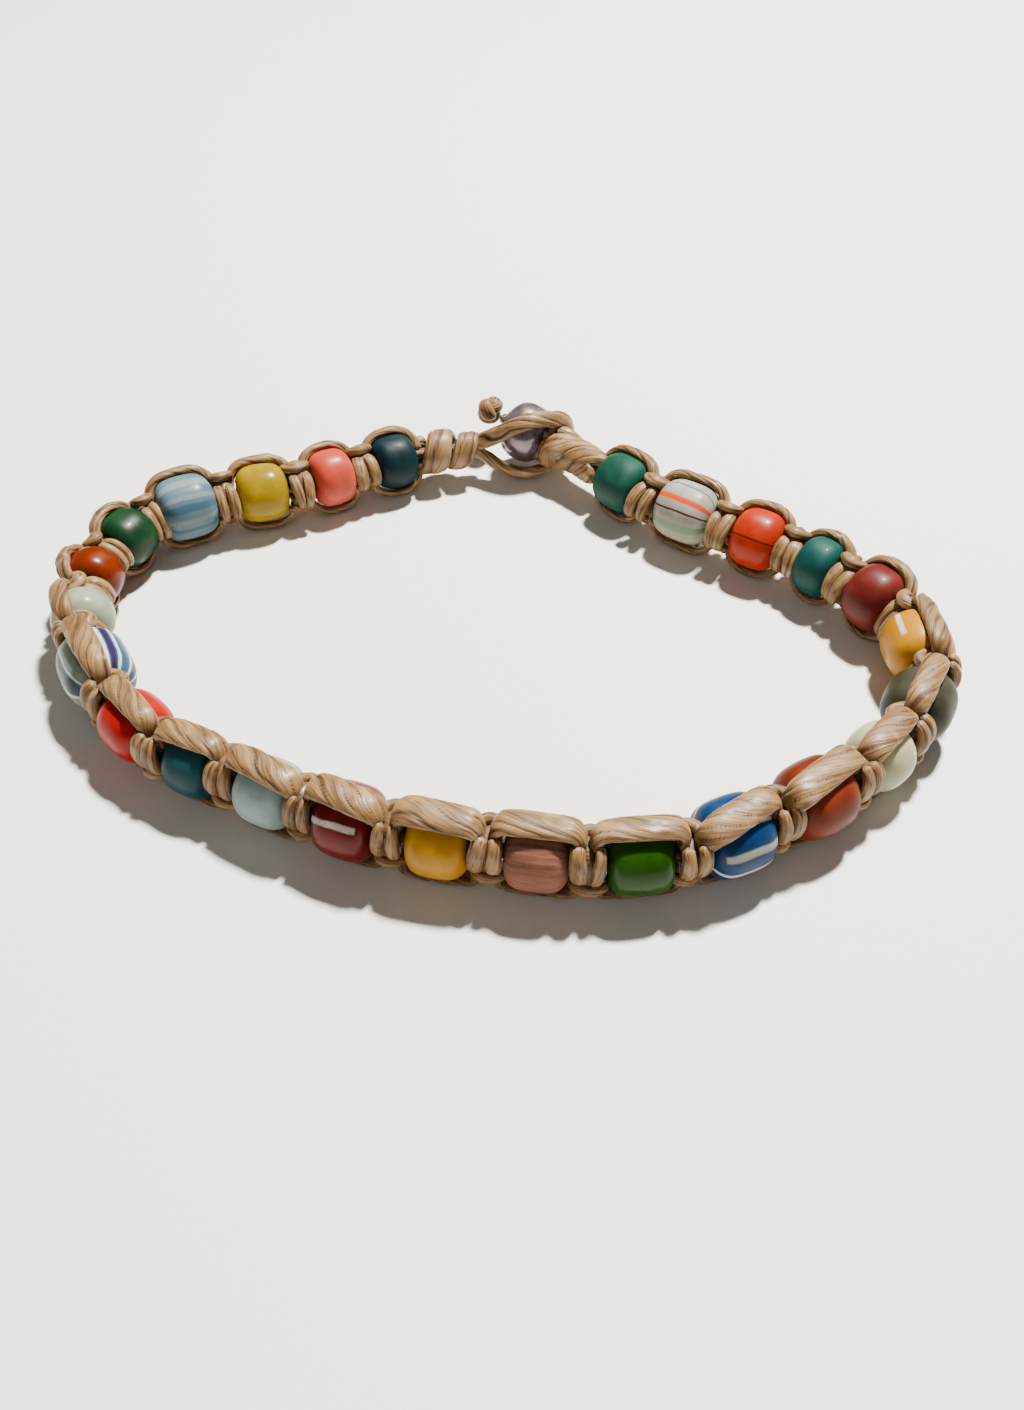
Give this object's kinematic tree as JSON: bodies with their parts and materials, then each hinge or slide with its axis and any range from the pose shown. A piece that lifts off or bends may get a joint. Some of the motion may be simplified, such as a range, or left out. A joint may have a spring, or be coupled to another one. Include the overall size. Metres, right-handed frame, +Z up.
{
  "type": "macrame bracelet",
  "caption": "Closed bracelet of drilled barrel beads held on a core cord by square-knotted waxed cords, with a bead and loop clasp.",
  "frame": {"origin": "on the surface it rests on, under the middle of the bracelet's box", "axes": "+X along the closed loop's long way, towards the right-hand turn; +Y towards the clasp; +Z up"},
  "size_m": [0.0822, 0.0674, 0.0085],
  "materials": {
    "glass_teal_navy": "satin",
    "glass_coral": "gloss",
    "glass_mustard": "gloss",
    "glass_blue_grey_striped": "gloss",
    "glass_dark_green": "gloss",
    "glass_rust": "gloss",
    "glass_celadon": "gloss",
    "glass_pale_striped": "gloss",
    "glass_red": "gloss",
    "glass_dark_teal": "satin",
    "glass_grey_blue": "satin",
    "glass_maroon_striped": "gloss",
    "glass_dusty_pink": "satin",
    "glass_leaf_green": "gloss",
    "glass_blue_striped": "gloss",
    "glass_brick": "gloss",
    "glass_cream": "gloss",
    "glass_olive": "satin",
    "glass_amber": "gloss",
    "glass_burgundy": "gloss",
    "glass_teal": "satin",
    "glass_orange": "gloss",
    "glass_white_striped": "gloss",
    "glass_teal_green": "satin",
    "waxed_cord": "waxed linen, soft sheen",
    "core_cord": "waxed linen",
    "button_glaze": "metallic glaze, gloss"
  },
  "bodies": {
    "root": {"bead_01": "glass_teal_navy", "bead_02": "glass_coral", "bead_03": "glass_mustard", "bead_04": "glass_blue_grey_striped", "bead_05": "glass_dark_green", "bead_06": "glass_rust", "bead_07": "glass_celadon", "bead_08": "glass_pale_striped", "bead_09": "glass_red", "bead_10": "glass_dark_teal", "bead_11": "glass_grey_blue", "bead_12": "glass_maroon_striped", "bead_13": "glass_mustard", "bead_14": "glass_dusty_pink", "bead_15": "glass_leaf_green", "bead_16": "glass_blue_striped", "bead_17": "glass_brick", "bead_18": "glass_cream", "bead_19": "glass_olive", "bead_20": "glass_amber", "bead_21": "glass_burgundy", "bead_22": "glass_teal", "bead_23": "glass_orange", "bead_24": "glass_white_striped", "bead_25": "glass_teal_green", "knotted_band": "waxed_cord", "core_cord": "core_cord", "clasp_loop": "waxed_cord", "end_knot": "waxed_cord", "clasp_bead": "button_glaze"}
  },
  "joints": []
}
